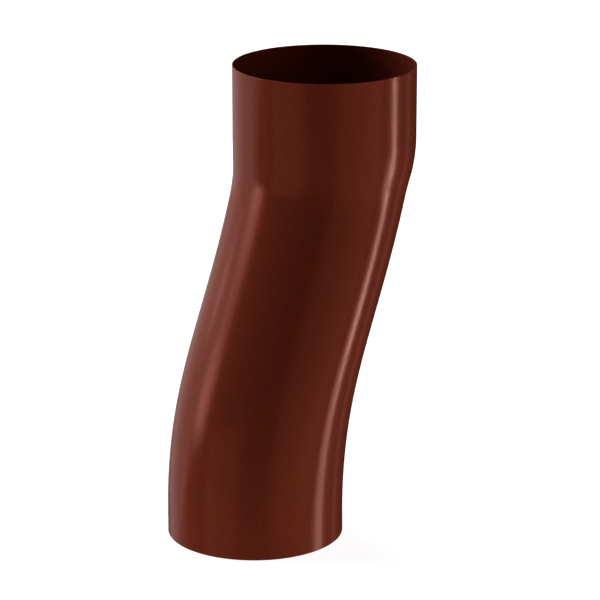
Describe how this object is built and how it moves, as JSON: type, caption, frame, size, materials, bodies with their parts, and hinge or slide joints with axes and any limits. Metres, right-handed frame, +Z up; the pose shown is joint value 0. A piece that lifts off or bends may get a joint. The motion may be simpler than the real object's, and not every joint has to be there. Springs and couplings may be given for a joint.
{
  "type": "downpipe offset",
  "caption": "Painted sheet-steel downpipe offset: an S-shaped round pipe with a widened socket at the top and a plain lower end.",
  "frame": {"origin": "centre of the plain lower end, level with its edge", "axes": "+Z up along the lower end's axis, +X towards the side where the socket is"},
  "size_m": [0.1622, 0.1044, 0.262],
  "materials": {
    "painted_steel": "semi-gloss oxide-red paint with a fine grain, inside and out"
  },
  "bodies": {
    "root": {"offset_pipe": "painted_steel"}
  },
  "joints": []
}
